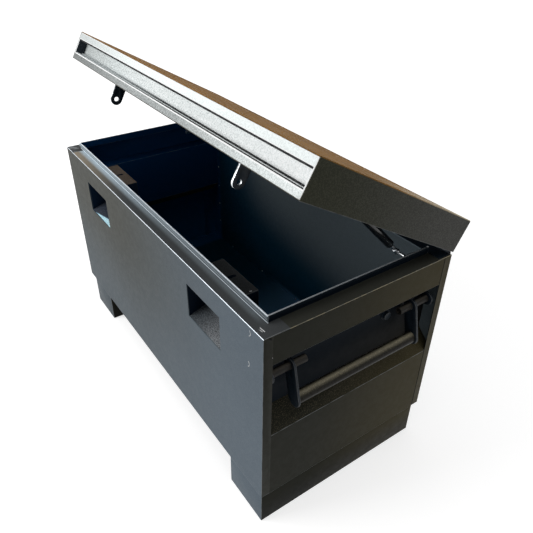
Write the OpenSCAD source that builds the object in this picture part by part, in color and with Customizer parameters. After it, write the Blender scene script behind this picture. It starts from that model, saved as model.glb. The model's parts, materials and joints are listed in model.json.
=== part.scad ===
// Steel site storage box: a folded sheet body on two runners, a lid on two gas
// struts, two lock pockets in the front and a drop handle recessed in each end.
// X runs along the box, the front is at -Y and +Z is up. The origin is at floor
// level, under the middle of the box as it stands with its lid part open.

/* [Body] */
// Length of the box over its end faces
box_l = 1220; // [1100:10:1500]
// Width of the body from its front face to its back face
box_w = 576; // [540:1:700]
// Height of the sheet body above its runners
shell_h = 536; // [500:1:650]
// Thickness of the body and lid sheet
sheet = 2; // [1.5:0.5:3]
// Width of the front panel's folds round the ends
front_fold = 25; // [18:1:35]
// Width of the back panel's folds round the ends
back_fold = 24; // [18:1:35]
// Open seam between an end panel and the back panel's fold
seam = 2; // [0.5:0.5:3]

/* [Rim] */
// Depth of the front ledge, from the front face to the upstand
front_ledge = 35; // [30:1:45]
// Width of the end ledges, from the end face to the upstand
end_ledge = 38; // [32:1:45]
// Length of the patch that closes the front ledge at each corner
corner_patch = 68; // [50:1:90]
// Height of the upstand above the ledge
upstand_h = 20; // [12:1:24]
// Height of the hem folded down the outside of the upstand
hem_h = 10; // [6:1:12]
// Distance from the back end of the end upstands to the back face
upstand_gap = 40; // [40:1:60]
// Radius of the weld dots inside the body
dot_r = 3.5; // [2:0.5:5]
// Height of the weld dots
dot_h = 1; // [0.5:0.5:2]
// Distance between weld dots along the floor
dot_pitch = 225; // [150:5:300]
// Distance between weld dots up the back corners
dot_rise = 84; // [60:2:120]

/* [Runners] */
// Height of the runners
foot_h = 103; // [80:1:130]
// Width of each runner
foot_w = 152; // [120:1:180]
// Thickness of the runner plate
foot_t = 3; // [2:0.5:5]
// Distance of the left runner from the left end face
foot_inset = 48; // [0:1:80]
// Distance of both runners from the back face
foot_setback = 25; // [0:1:60]

/* [Handle recess] */
// Depth of the recess behind the end face
recess_d = 50; // [44:1:60]
// Distance from the ledge down to the top of the recess
recess_drop = 84; // [70:1:110]
// Height of the recess's upright back wall
recess_wall = 182; // [165:1:220]
// Fall of the sloping shelf from the back wall to the end face
shelf_fall = 46; // [30:1:70]

/* [Handles] */
// Distance of the pivot behind the end face
pivot_in = 25; // [23:0.5:27]
// Distance of the pivot below the top of the recess
pivot_drop = 54; // [48:1:64]
// Distance from the pivot to the middle of the grip
handle_reach = 93.6; // [85:0.2:110]
// Angle at which the handle stands away from the wall
handle_tilt = 13.6; // [0:0.2:25]
// Distance between the outer faces of the two arms
handle_w = 398; // [340:2:420]
// Width of the flat arms
arm_w = 42; // [34:1:44]
// Thickness of the arms
arm_t = 6; // [4:0.5:8]
// Radius of the grip tube
grip_r = 16; // [13:0.5:18]
// Wall of the grip tube
grip_wall = 2; // [1.5:0.5:4]
// Radius of the pivot tubes
tube_r = 10; // [9:0.5:12]
// Length of a pivot tube outside its arm
tube_out = 54; // [40:1:70]
// Length of a pivot tube inside its arm
tube_in = 41; // [25:1:60]
// Radius of the fixed pivot pins
pin_r = 6; // [5:0.25:7]
// Thickness of the lugs that hold the pins
lug_t = 5; // [4:0.5:8]
// Height of the lugs
lug_h = 40; // [34:1:50]
// Radius of the pin heads
pin_head_r = 10; // [8:0.5:12]
// Thickness of the pin heads
pin_head_t = 6; // [4:0.5:8]
// Distance of the recess bolt behind the middle of the right end
bolt_y = 132; // [90:1:150]
// Distance of the recess bolt below the pivot
bolt_drop = 18; // [0:1:40]
// Radius of the recess bolt's head
bolt_r = 11; // [8:0.5:13]
// Height of the recess bolt's head
bolt_h = 10; // [6:0.5:14]
// Radius of the recess bolt's washer
washer_r = 15; // [13:0.5:20]
// Thickness of the recess bolt's washer
washer_t = 2; // [1:0.5:3]

/* [Lock pockets] */
// Distance of the middle of each pocket from the end face
pocket_in = 260; // [200:1:290]
// Width of the pocket opening
pocket_w = 160; // [130:1:180]
// Height of the pocket opening
pocket_h = 104; // [90:1:120]
// Distance from the ledge down to the top of the opening
pocket_drop = 63; // [55:1:80]
// Distance from the ledge down to the top of the housing
housing_drop = 28; // [24:1:40]
// Depth of the housing behind the front face
pocket_d = 110; // [96:1:130]
// Slope of the pocket's floor
pocket_tilt = 18.7; // [10:0.1:22]
// Thickness of the housing's plate
pocket_t = 2; // [1.5:0.5:4]
// Width of the slot for the hasp
slot_w = 10; // [8:0.5:14]
// Room in the slot in front of the hasp
slot_front = 5; // [4:0.5:8]
// Room in the slot behind the hasp
slot_back = 15; // [10:0.5:20]

/* [Lid] */
// Distance by which the lid stands out past the front face
lid_over = 2; // [0:0.5:6]
// Height of the lid's sides
lid_h = 88; // [80:1:110]
// Angle at which the lid stands open
lid_rest = 29.6; // [20:0.1:45]
// Height of the front band above the groove
band_top = 23; // [16:0.5:30]
// Height of the front band below the groove
band_low = 20.4; // [15:0.2:26]
// Depth of the groove in the front
groove_d = 28; // [20:1:32]
// Rise of the groove's floor towards its back
groove_rise = 3.6; // [2:0.2:6]
// Width of the folded returns along the bottom of the lid's ends
lid_return = 15; // [10:1:20]
// Thickness of the plates that close the ends of the groove
groove_end = 5; // [3:0.5:8]
// Distance of each stiffening rib from the middle of the lid
rib_x = 210; // [150:5:250]
// Width of the ribs
rib_w = 60; // [40:1:80]
// Depth of the ribs
rib_h = 25; // [15:1:35]
// Width of the rib's welding flanges
rib_flange = 14; // [10:1:20]

/* [Hasps] */
// Distance from the lid's front face back to the hasp hole
hasp_back = 66; // [64:0.5:68]
// Distance of the hasp hole below the bottom of the lid
hasp_drop = 47; // [44:0.5:52]
// Width of the hasp plates
hasp_w = 36; // [30:1:38]
// Thickness of the hasp plates
hasp_t = 6; // [4:0.5:7]
// Radius of the hole for the padlock shackle
hasp_hole_r = 7; // [5:0.25:8]

/* [Hinge] */
// Outer radius of the hinge knuckles
knuckle_r = 4.5; // [4:0.25:5]
// Radius of the hinge pin
hinge_pin_r = 2.25; // [1.75:0.25:2.75]
// Clearance between the pin and the knuckle's bore
pin_clear = 0.06; // [0.03:0.01:0.1]
// Thickness of the hinge leaves
leaf_t = 2; // [1.5:0.25:2.5]
// Width of the hinge leaves
leaf_w = 38; // [30:1:38]
// Distance of the hinge axis in front of the back face
hinge_set = 6; // [5.5:0.5:7]
// Distance of the hinge's ends from the end faces
hinge_end = 4; // [2:1:30]
// Number of knuckles
knuckles = 12; // [6:2:16]

/* [Gas struts] */
// Distance of the struts from the end faces
strut_in = 80; // [76:1:90]
// Distance of the lower pivot from the back face
strut_foot_back = 115; // [105:1:125]
// Height of the lower pivot above the ledge
strut_foot_h = 7; // [0:0.5:10]
// Distance of the upper pivot in front of the hinge axis
strut_head_u = 403; // [380:1:420]
// Height of the upper pivot above the hinge axis, with the lid level
strut_head_v = 38; // [30:1:44]
// Radius of the strut's cylinder
strut_r = 11; // [10:0.5:12]
// Bore radius of the cylinder
strut_bore = 8.6; // [8.4:0.1:9]
// Radius of the rod
rod_r = 5; // [4:0.25:6]
// Length of the rod above its end fitting
rod_l = 158; // [150:1:165]
// Distance from the lower pivot to the end of the cylinder, as the lid stands
strut_neck = 47; // [44:1:52]
// Radius of the ball sockets on the strut's ends
socket_r = 8; // [6:0.25:8]
// Radius of the ball studs
stud_r = 4; // [3:0.25:5]
// Radius of the stud collars
collar_r = 7; // [5.5:0.25:9]
// Thickness of the strut brackets
bracket_t = 4; // [3:0.5:6]
// Width of the strut brackets
bracket_w = 36; // [28:1:44]

/* [Hidden] */
$fn = 48;

black = "#35373a";
dark = "#2b2d30";
silver = "#c9cccc";
zinc = "#d6d8da";
steel = "#8d9094";

// overrun of every cut past the face it opens
overrun = 1;
// gap round a piece that is welded or clamped in a hole
weld_gap = 0.1;
// gap between the faces of pieces that turn beside each other
side_gap = 0.5;

half_l = box_l / 2;
pocket_x = half_l - pocket_in;
rim_z = foot_h + shell_h;
hinge_z = rim_z + knuckle_r + side_gap;
// lid sizes from the hinge axis: u runs to the front, v runs up, with the lid level
lid_front_u = box_w + lid_over - hinge_set;
lid_bottom_v = knuckle_r + side_gap;
lid_top_v = lid_bottom_v + lid_h;
// how far the open lid reaches behind the back face
overhang = lid_top_v * sin(lid_rest) - hinge_set * (1 - cos(lid_rest));
front_y = -(box_w + overhang) / 2;
back_y = front_y + box_w;
mid_y = (front_y + back_y) / 2;
hinge_y = back_y - hinge_set;

// the upstand is the sheet and its hem
upstand_t = 2 * sheet;
// inner edges of the rim
end_rim_x = half_l - end_ledge;
front_rim_y = front_y + front_ledge;

// handle recess: its top, its back wall, and the two ends of its sloping shelf
recess_z = rim_z - recess_drop;
recess_x = half_l - recess_d;
shelf_back_z = recess_z - recess_wall;
shelf_front_z = shelf_back_z - shelf_fall;
shelf_slope = shelf_fall / recess_d;
shelf_t = sheet * sqrt(1 + shelf_slope * shelf_slope);
function shelf_z(x) = shelf_back_z - shelf_slope * (x - recess_x);

pivot_x = half_l - pivot_in;
pivot_z = recess_z - pivot_drop;
arm_y = handle_w / 2;
lug_y = arm_y + tube_out + side_gap;

pocket_z = rim_z - pocket_drop - pocket_h;
housing_z = rim_z - housing_drop;
pocket_slope = tan(pocket_tilt);
pocket_floor_t = pocket_t * sqrt(1 + pocket_slope * pocket_slope);
hasp_u = lid_front_u - hasp_back;
hasp_v = lid_bottom_v - hasp_drop;
// where the hasp stands with the lid shut
hasp_shut_y = hinge_y - hasp_u;

groove_u = lid_front_u - groove_d;
groove_top_v = lid_top_v - band_top;
groove_low_v = lid_bottom_v + band_low;
// top of the hasp plates, under the roof of the groove, and the foot of their tabs
hasp_top_v = groove_top_v - band_top / 4;
hasp_tab_v = groove_low_v + groove_rise + rib_flange / 4;

hinge_l = box_l - 2 * hinge_end;
knuckle_l = hinge_l / knuckles;

strut_x = half_l - strut_in;
foot_y = back_y - strut_foot_back;
foot_z = rim_z + strut_foot_h;
head_y = hinge_y - strut_head_u * cos(lid_rest) + strut_head_v * sin(lid_rest);
head_z = hinge_z + strut_head_u * sin(lid_rest) + strut_head_v * cos(lid_rest);
strut_l = norm([head_y - foot_y, head_z - foot_z]);
strut_turn = atan2(foot_y - head_y, head_z - foot_z);
shank_l = 2 * socket_r;
stud_x = strut_x + socket_r + side_gap;
bracket_x = strut_x + strut_r + bracket_t;
piston_r = strut_bore - 2 * weld_gap;
piston_l = 2 * rod_r;

// a box between two corners
module block(low, high) {
    translate(low) cube(high - low);
}

// draws its child at the right end and mirrored at the left end
module both_ends() {
    children();
    mirror([1, 0, 0]) children();
}

// draws a right-hand piece at the left end instead
module at_left() {
    mirror([1, 0, 0]) children();
}

// an outline in Y and Z carried along X
module along_x(from, to) {
    translate([from, 0, 0]) rotate([90, 0, 90]) linear_extrude(to - from) children();
}

// an outline in X and Z carried along Y
module along_y(from, to) {
    translate([0, to, 0]) rotate([90, 0, 0]) linear_extrude(to - from) children();
}

// the lid's own frame, at the angle at which it stands open
module on_lid() {
    translate([0, hinge_y, hinge_z]) rotate([-lid_rest, 0, 0]) children();
}

// a box on the lid, given along X, from the hinge to the front, and up
module lid_block(x, u, v) {
    block([x[0], -u[1], v[0]], [x[1], -u[0], v[1]]);
}

// a flat outline of a bar with round ends, from the origin down by its reach
module bar_outline(width, reach) {
    circle(d = width);
    translate([0, -reach]) circle(d = width);
    translate([-width / 2, -reach]) square([width, reach]);
}

module front_panel() {
    color(black) {
        difference() {
            block([-half_l, front_y, foot_h], [half_l, front_y + sheet, rim_z]);
            for (side = [-1, 1])
                translate([side * pocket_x, front_y, pocket_z])
                    block([-pocket_w / 2, -overrun, 0], [pocket_w / 2, sheet + overrun, pocket_h]);
        }
        both_ends() {
            block([half_l - sheet, front_y, foot_h], [half_l, front_y + front_fold, rim_z]);
            block([end_rim_x - sheet, front_y, rim_z - sheet],
                  [half_l, front_y + corner_patch, rim_z]);
        }
        block([-half_l, front_y, rim_z - sheet], [half_l, front_rim_y + sheet, rim_z]);
        block([-end_rim_x, front_rim_y + sheet, rim_z - sheet],
              [end_rim_x, front_rim_y + upstand_t, rim_z + upstand_h]);
        block([-end_rim_x, front_rim_y, rim_z + upstand_h - hem_h],
              [end_rim_x, front_rim_y + sheet, rim_z + upstand_h]);
    }
}

module back_panel() {
    color(black) {
        block([-half_l, back_y - sheet, foot_h], [half_l, back_y, rim_z]);
        block([-half_l, back_y - leaf_w - hinge_set, rim_z - sheet], [half_l, back_y, rim_z]);
        both_ends()
            block([half_l - sheet, back_y - back_fold, foot_h], [half_l, back_y, rim_z]);
    }
}

module base_panel() {
    color(black)
        block([-half_l + sheet, front_y + sheet, foot_h],
              [half_l - sheet, back_y - sheet, foot_h + sheet]);
}

// one folded sheet: top strip, roof of the recess, back wall, sloping shelf, lower panel
module end_panel() {
    skin_x = half_l - sheet;
    wall_x = recess_x - sheet;
    color(black) {
        along_y(front_y + front_fold, back_y - back_fold - seam)
            polygon([
                [half_l, rim_z - sheet], [half_l, recess_z], [recess_x, recess_z],
                [recess_x, shelf_back_z], [half_l, shelf_front_z], [half_l, foot_h],
                [skin_x, foot_h], [skin_x, shelf_z(skin_x) - shelf_t],
                [wall_x, shelf_z(wall_x) - shelf_t], [wall_x, recess_z + sheet],
                [skin_x, recess_z + sheet], [skin_x, rim_z - sheet]
            ]);
        along_y(front_y + sheet, back_y - sheet)
            polygon([
                [skin_x, recess_z], [recess_x, recess_z], [recess_x, shelf_back_z],
                [skin_x, shelf_z(skin_x)], [skin_x, shelf_z(skin_x) - shelf_t],
                [wall_x, shelf_z(wall_x) - shelf_t], [wall_x, recess_z + sheet],
                [skin_x, recess_z + sheet]
            ]);
        for (z = [[foot_h + sheet, shelf_z(skin_x)], [recess_z, rim_z - sheet]])
            block([skin_x - sheet, back_y - 2 * back_fold, z[0]], [skin_x, back_y - sheet, z[1]]);
    }
}

module end_rim() {
    upstand_end_y = back_y - max(upstand_gap, leaf_w + hinge_set + sheet);
    color(black) {
        block([end_rim_x - upstand_t, front_y + corner_patch, rim_z - sheet],
              [half_l, back_y - leaf_w - hinge_set, rim_z]);
        block([end_rim_x - upstand_t, front_rim_y + upstand_t, rim_z - sheet],
              [end_rim_x - sheet, upstand_end_y, rim_z + upstand_h]);
        block([end_rim_x - sheet, front_rim_y + upstand_t, rim_z + upstand_h - hem_h],
              [end_rim_x, upstand_end_y, rim_z + upstand_h]);
    }
}

// dots of weld along the floor at the back, and up the two back corners
module seam_weld_dots() {
    wall_y = back_y - sheet;
    floor_z = foot_h + sheet + 2 * dot_r;
    corner_x = recess_x - 2 * sheet - 2 * dot_r;
    spans = floor(2 * corner_x / dot_pitch);
    color(steel) {
        for (i = [0 : spans])
            translate([(i - spans / 2) * dot_pitch, wall_y, floor_z])
                rotate([90, 0, 0]) cylinder(r = dot_r, h = dot_h);
        both_ends()
            for (z = [floor_z + dot_rise : dot_rise : recess_z])
                translate([corner_x, wall_y, z]) rotate([90, 0, 0]) cylinder(r = dot_r, h = dot_h);
    }
}

// a folded channel, closed at its ends and open at the top under the floor
module runner(x) {
    color(black)
        difference() {
            block([x, front_y, 0], [x + foot_w, back_y - foot_setback, foot_h]);
            block([x + foot_t, front_y + foot_t, foot_t],
                  [x + foot_w - foot_t, back_y - foot_setback - foot_t, foot_h + overrun]);
        }
}

// the pocket's housing: sides, back, sloping floor, and a top with the hasp's slot
module lock_pocket() {
    half_w = pocket_w / 2;
    slot_y = hasp_shut_y - hasp_w / 2 - slot_front + slot_w / 2;
    slot_end_y = hasp_shut_y + hasp_w / 2 + slot_back - slot_w / 2;
    function floor_z(y) = pocket_z + pocket_slope * y;
    color(dark)
        translate([pocket_x, 0, 0])
            difference() {
                along_x(-half_w - pocket_t, half_w + pocket_t)
                    polygon([
                        [front_y + sheet, floor_z(sheet) - pocket_floor_t],
                        [front_y + pocket_d, floor_z(pocket_d) - pocket_floor_t],
                        [front_y + pocket_d, housing_z], [front_y + sheet, housing_z]
                    ]);
                along_x(-half_w, half_w)
                    polygon([
                        [front_y - overrun, floor_z(-overrun)],
                        [front_y + pocket_d - pocket_t, floor_z(pocket_d - pocket_t)],
                        [front_y + pocket_d - pocket_t, housing_z - pocket_t],
                        [front_y - overrun, housing_z - pocket_t]
                    ]);
                for (y = [slot_y, slot_end_y])
                    translate([0, y, housing_z - pocket_t - overrun])
                        cylinder(d = slot_w, h = pocket_t + 2 * overrun);
                block([-slot_w / 2, slot_y, housing_z - pocket_t - overrun],
                      [slot_w / 2, slot_end_y, housing_z + overrun]);
            }
}

// one hinge leaf with its share of the knuckles: the lower leaf has the even ones
module hinge_leaf(first, leaf_low) {
    color(steel)
        difference() {
            union() {
                block([-hinge_l / 2, -leaf_w, leaf_low], [hinge_l / 2, 0, leaf_low + leaf_t]);
                for (i = [first : 2 : knuckles - 1])
                    translate([-hinge_l / 2 + i * knuckle_l, 0, 0])
                        rotate([0, 90, 0]) cylinder(r = knuckle_r, h = knuckle_l - side_gap);
            }
            for (i = [1 - first : 2 : knuckles - 1])
                translate([-hinge_l / 2 + i * knuckle_l - side_gap, 0, 0])
                    block([0, -knuckle_r - side_gap, -knuckle_r - overrun],
                          [knuckle_l + side_gap, overrun, knuckle_r + overrun]);
            translate([-hinge_l / 2 - overrun, 0, 0])
                rotate([0, 90, 0]) cylinder(r = hinge_pin_r + pin_clear, h = hinge_l + 2 * overrun);
        }
}

module hinge_pin() {
    color(zinc)
        translate([-hinge_l / 2 - leaf_t, hinge_y, hinge_z])
            rotate([0, 90, 0]) cylinder(r = hinge_pin_r, h = hinge_l + 2 * leaf_t);
}

module lid_top() {
    color("#5b503f")
        on_lid()
            lid_block([-half_l, half_l], [-hinge_set, lid_front_u], [lid_top_v - sheet, lid_top_v]);
}

module lid_end() {
    top_v = lid_top_v - sheet;
    return_v = lid_bottom_v + sheet;
    color(black)
        on_lid() {
            lid_block([half_l - sheet, half_l], [-hinge_set, lid_front_u], [lid_bottom_v, top_v]);
            lid_block([half_l - sheet - lid_return, half_l],
                      [leaf_w, groove_u - sheet], [lid_bottom_v, return_v]);
        }
}

module lid_back() {
    inner_x = half_l - sheet;
    color(black)
        on_lid() {
            lid_block([-inner_x, inner_x], [-hinge_set, sheet - hinge_set],
                      [lid_bottom_v, lid_top_v - sheet]);
            lid_block([-inner_x, inner_x], [-hinge_set, leaf_w],
                      [lid_bottom_v, lid_bottom_v + sheet]);
        }
}

// the folded front with its hand groove, closed below into a box
module lid_front_channel() {
    end_x = half_l - sheet - groove_end;
    top_v = lid_top_v - sheet;
    inner_u = groove_u - sheet;
    face_u = lid_front_u - sheet;
    groove_back_v = groove_low_v + groove_rise;
    color(silver)
        on_lid() {
            both_ends()
                lid_block([end_x, half_l - sheet], [inner_u, lid_front_u], [lid_bottom_v, top_v]);
            along_x(-end_x, end_x)
                difference() {
                    polygon([
                        [-lid_front_u, lid_bottom_v], [-lid_front_u, groove_low_v],
                        [-groove_u, groove_back_v], [-groove_u, groove_top_v],
                        [-lid_front_u, groove_top_v], [-lid_front_u, top_v],
                        [-inner_u, top_v], [-inner_u, lid_bottom_v]
                    ]);
                    polygon([
                        [-face_u, lid_bottom_v + sheet], [-face_u, groove_low_v - sheet],
                        [-groove_u, groove_back_v - sheet], [-groove_u, lid_bottom_v + sheet]
                    ]);
                    polygon([
                        [-face_u, groove_top_v + sheet], [-face_u, top_v - sheet],
                        [-groove_u, top_v - sheet], [-groove_u, groove_top_v + sheet]
                    ]);
                }
        }
}

// a hat-shaped rib welded under the lid's top from the back to the front channel
module lid_rib() {
    top_v = lid_top_v - sheet;
    from_y = -(groove_u - sheet);
    to_y = hinge_set - sheet;
    color(dark)
        on_lid()
            translate([rib_x, 0, 0])
                along_y(from_y, to_y)
                    polygon([
                        [-rib_w / 2 - rib_flange, top_v], [-rib_w / 2, top_v],
                        [-rib_w / 2, top_v - rib_h + sheet], [rib_w / 2, top_v - rib_h + sheet],
                        [rib_w / 2, top_v], [rib_w / 2 + rib_flange, top_v],
                        [rib_w / 2 + rib_flange, top_v - sheet], [rib_w / 2 + sheet, top_v - sheet],
                        [rib_w / 2 + sheet, top_v - rib_h], [-rib_w / 2 - sheet, top_v - rib_h],
                        [-rib_w / 2 - sheet, top_v - sheet],
                        [-rib_w / 2 - rib_flange, top_v - sheet]
                    ]);
}

// a plate that hangs below the lid, welded to the front channel by its upper tab
module hasp() {
    color(dark)
        on_lid()
            along_x(pocket_x - hasp_t / 2, pocket_x + hasp_t / 2)
                difference() {
                    union() {
                        translate([-hasp_u, hasp_v]) circle(d = hasp_w);
                        translate([-hasp_u - hasp_w / 2, hasp_v])
                            square([hasp_w, hasp_top_v - hasp_v]);
                        translate([-groove_u + sheet, hasp_tab_v])
                            square([groove_u - sheet - hasp_u, hasp_top_v - hasp_tab_v]);
                    }
                    translate([-hasp_u, hasp_v]) circle(r = hasp_hole_r);
                }
}

// a ball stud with its collar, pointing inwards from a bracket's face
module ball_stud(face_x) {
    translate([stud_x, 0, 0]) rotate([0, 90, 0]) cylinder(r = stud_r, h = face_x - stud_x);
    translate([face_x - stud_r, 0, 0]) rotate([0, 90, 0]) cylinder(r = collar_r, h = stud_r);
}

module strut_lower_bracket() {
    plate_x = end_rim_x - upstand_t - bracket_t;
    color(zinc)
        translate([0, foot_y, 0]) {
            block([plate_x, -bracket_w / 2, foot_z - bracket_w],
                  [plate_x + bracket_t, bracket_w / 2, rim_z + upstand_h - sheet]);
            translate([0, 0, foot_z]) ball_stud(plate_x);
        }
}

module strut_upper_bracket() {
    color(zinc)
        on_lid()
            translate([0, -strut_head_u, 0]) {
                block([bracket_x, -bracket_w / 2, strut_head_v - bracket_w / 2],
                      [bracket_x + bracket_t, bracket_w / 2, lid_top_v - sheet]);
                block([bracket_x, -bracket_w / 2, lid_top_v - sheet - bracket_t],
                      [bracket_x + bracket_w, bracket_w / 2, lid_top_v - sheet]);
                translate([0, 0, strut_head_v]) ball_stud(bracket_x);
            }
}

// the strut's own frame: from its lower pivot up along the strut
module on_strut() {
    translate([strut_x, foot_y, foot_z]) rotate([strut_turn, 0, 0]) children();
}

module strut_cylinder() {
    top = strut_l - shank_l;
    color("#1d1e20")
        on_strut()
            difference() {
                translate([0, 0, strut_neck]) cylinder(r = strut_r, h = top - strut_neck);
                translate([0, 0, strut_neck - overrun])
                    cylinder(r = strut_bore, h = top - strut_neck - shank_l);
            }
}

module strut_head_socket() {
    color(zinc)
        on_strut() {
            translate([0, 0, strut_l]) sphere(r = socket_r);
            translate([0, 0, strut_l - shank_l]) cylinder(r = rod_r, h = shank_l);
        }
}

module strut_rod() {
    color(steel)
        on_strut()
            translate([0, 0, shank_l]) {
                cylinder(r = rod_r, h = rod_l);
                translate([0, 0, rod_l - piston_l]) cylinder(r = piston_r, h = piston_l);
            }
}

module strut_foot_socket() {
    color(zinc)
        on_strut() {
            sphere(r = socket_r);
            cylinder(r = rod_r + sheet / 2, h = shank_l);
        }
}

// the handle's own frame: its pivot, turned out as the handle stands
module on_handle() {
    translate([pivot_x, mid_y, pivot_z]) rotate([0, -handle_tilt, 0]) children();
}

module handle_arm(side) {
    from = side > 0 ? arm_y - arm_t : -arm_y;
    color(dark)
        on_handle()
            along_y(from, from + arm_t)
                difference() {
                    bar_outline(arm_w, handle_reach);
                    circle(r = tube_r + weld_gap);
                }
}

module handle_grip() {
    span = arm_y - arm_t;
    color("#4a4640")
        on_handle()
            translate([0, 0, -handle_reach])
                along_y(-span, span)
                    difference() {
                        circle(r = grip_r);
                        circle(r = grip_r - grip_wall);
                    }
}

module handle_pivot_tubes() {
    color(steel)
        on_handle()
            for (side = [-1, 1])
                scale([1, side, 1])
                    along_y(arm_y - arm_t - tube_in, arm_y + tube_out)
                        difference() {
                            circle(r = tube_r);
                            circle(r = pin_r + pin_clear);
                        }
}

module handle_lugs() {
    color(dark)
        translate([0, mid_y, pivot_z])
            for (side = [-1, 1])
                scale([1, side, 1])
                    along_y(lug_y, lug_y + lug_t)
                        difference() {
                            union() {
                                translate([recess_x, -lug_h / 2])
                                    square([pivot_x - recess_x, lug_h]);
                                translate([pivot_x, 0]) circle(d = lug_h);
                            }
                            translate([pivot_x, 0]) circle(r = pin_r + weld_gap);
                        }
}

module handle_pins() {
    color(steel)
        translate([pivot_x, mid_y, pivot_z])
            for (side = [-1, 1])
                scale([1, side, 1]) {
                    along_y(arm_y - arm_t - tube_in / 2, lug_y + lug_t)
                        circle(r = pin_r);
                    along_y(lug_y + lug_t, lug_y + lug_t + pin_head_t)
                        circle(r = pin_head_r, $fn = 6);
                }
}

module recess_bolt() {
    color(steel)
        translate([recess_x, mid_y + bolt_y, pivot_z - bolt_drop])
            rotate([0, 90, 0]) {
                cylinder(r = washer_r, h = washer_t);
                translate([0, 0, washer_t]) cylinder(r = bolt_r, h = bolt_h - washer_t);
            }
}

front_panel();
back_panel();
base_panel();
at_left() end_panel();  // left_end_panel
end_panel();  // right_end_panel
at_left() end_rim();  // left_end_ledge
end_rim();  // right_end_ledge
seam_weld_dots();
runner(-half_l + foot_inset);  // left_runner
runner(half_l - foot_w);  // right_runner
at_left() lock_pocket();  // left_lock_pocket
lock_pocket();  // right_lock_pocket
translate([0, hinge_y, hinge_z]) hinge_leaf(0, rim_z - hinge_z);  // hinge_lower_leaf
on_lid() hinge_leaf(1, lid_bottom_v - leaf_t);  // hinge_upper_leaf
hinge_pin();
lid_top();
at_left() lid_end();  // left_lid_end
lid_end();  // right_lid_end
lid_back();
lid_front_channel();
at_left() lid_rib();  // left_lid_rib
lid_rib();  // right_lid_rib
at_left() hasp();  // left_hasp
hasp();  // right_hasp
at_left() strut_lower_bracket();  // left_strut_lower_bracket
strut_lower_bracket();  // right_strut_lower_bracket
at_left() strut_upper_bracket();  // left_strut_upper_bracket
strut_upper_bracket();  // right_strut_upper_bracket
at_left() strut_cylinder();  // left_strut_cylinder
strut_cylinder();  // right_strut_cylinder
at_left() strut_head_socket();  // left_strut_head_socket
strut_head_socket();  // right_strut_head_socket
at_left() strut_rod();  // left_strut_rod
strut_rod();  // right_strut_rod
at_left() strut_foot_socket();  // left_strut_foot_socket
strut_foot_socket();  // right_strut_foot_socket
at_left() handle_arm(-1);  // left_handle_front_arm
at_left() handle_arm(1);  // left_handle_rear_arm
at_left() handle_grip();  // left_handle_grip
at_left() handle_pivot_tubes();  // left_handle_pivot_tubes
handle_arm(-1);  // right_handle_front_arm
handle_arm(1);  // right_handle_rear_arm
handle_grip();  // right_handle_grip
handle_pivot_tubes();  // right_handle_pivot_tubes
at_left() handle_lugs();  // left_handle_lugs
handle_lugs();  // right_handle_lugs
at_left() handle_pins();  // left_handle_pins
handle_pins();  // right_handle_pins
recess_bolt();
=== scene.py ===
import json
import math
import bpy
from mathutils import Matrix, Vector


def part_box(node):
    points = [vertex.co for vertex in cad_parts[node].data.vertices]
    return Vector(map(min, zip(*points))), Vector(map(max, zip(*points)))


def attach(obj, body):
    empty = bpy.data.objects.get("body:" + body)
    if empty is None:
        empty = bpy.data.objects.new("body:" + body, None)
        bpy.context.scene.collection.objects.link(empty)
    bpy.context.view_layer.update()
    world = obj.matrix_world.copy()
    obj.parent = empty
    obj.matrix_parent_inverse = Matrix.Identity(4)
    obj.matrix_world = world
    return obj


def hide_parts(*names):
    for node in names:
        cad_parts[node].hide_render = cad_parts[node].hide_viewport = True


bl_info = {
    "name": "Site Storage Box Dressing",
    "version": (1, 0, 0),
    "blender": (4, 5, 0),
    "location": "View3D > Sidebar > Site Box",
    "description": "Finishes the sheet-metal pieces of a site storage box and sets its stage",
    "category": "Object",
}

from functools import partial

import bmesh
import bpy
from bpy.props import FloatProperty, FloatVectorProperty, PointerProperty
from mathutils import Euler, Matrix, Vector

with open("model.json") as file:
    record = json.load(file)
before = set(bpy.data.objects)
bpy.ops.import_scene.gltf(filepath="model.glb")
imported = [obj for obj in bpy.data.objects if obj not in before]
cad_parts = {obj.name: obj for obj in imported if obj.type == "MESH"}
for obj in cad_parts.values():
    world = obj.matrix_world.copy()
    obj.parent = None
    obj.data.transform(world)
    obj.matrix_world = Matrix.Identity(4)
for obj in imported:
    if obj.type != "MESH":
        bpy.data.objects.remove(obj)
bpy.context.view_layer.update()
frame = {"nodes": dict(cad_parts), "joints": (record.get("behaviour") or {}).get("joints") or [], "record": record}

MM = 0.001

# the box's own planes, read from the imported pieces
front_low, front_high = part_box("front_panel")
back_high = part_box("back_panel")[1]
base_low, base_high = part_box("base_panel")
HALF_LENGTH = front_high[0]
FRONT_Y = front_low[1]
BACK_Y = back_high[1]
MIDDLE_Y = (FRONT_Y + BACK_Y) / 2
SHELL_FOOT_Z = base_low[2]
LEDGE_Z = back_high[2]
SHEET = base_high[2] - base_low[2]

# the lid's hinge and the angle at which the lid stands
lid_joint = next(j for j in frame["joints"] if j["name"] == "lid_hinge")
HINGE = Vector(lid_joint["pos_m"])
LID_OPEN = -math.radians(lid_joint["range_deg"][0])
LID_PLACE = Matrix.Translation(HINGE) @ Matrix.Rotation(-LID_OPEN, 4, "X")

# the body of each node, from the record
BODIES = frame["record"]["behaviour"]["bodies"]
BODY_OF = {node: body for body, nodes in BODIES.items() for node in nodes}


def radius(name, description, default, low, high):
    return FloatProperty(
        name=name, description=description, default=default, min=low, max=high,
        precision=4, unit="LENGTH",
    )


def colour(name, description, default):
    return FloatVectorProperty(
        name=name, description=description, default=default, size=3, subtype="COLOR", min=0, max=1
    )


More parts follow.
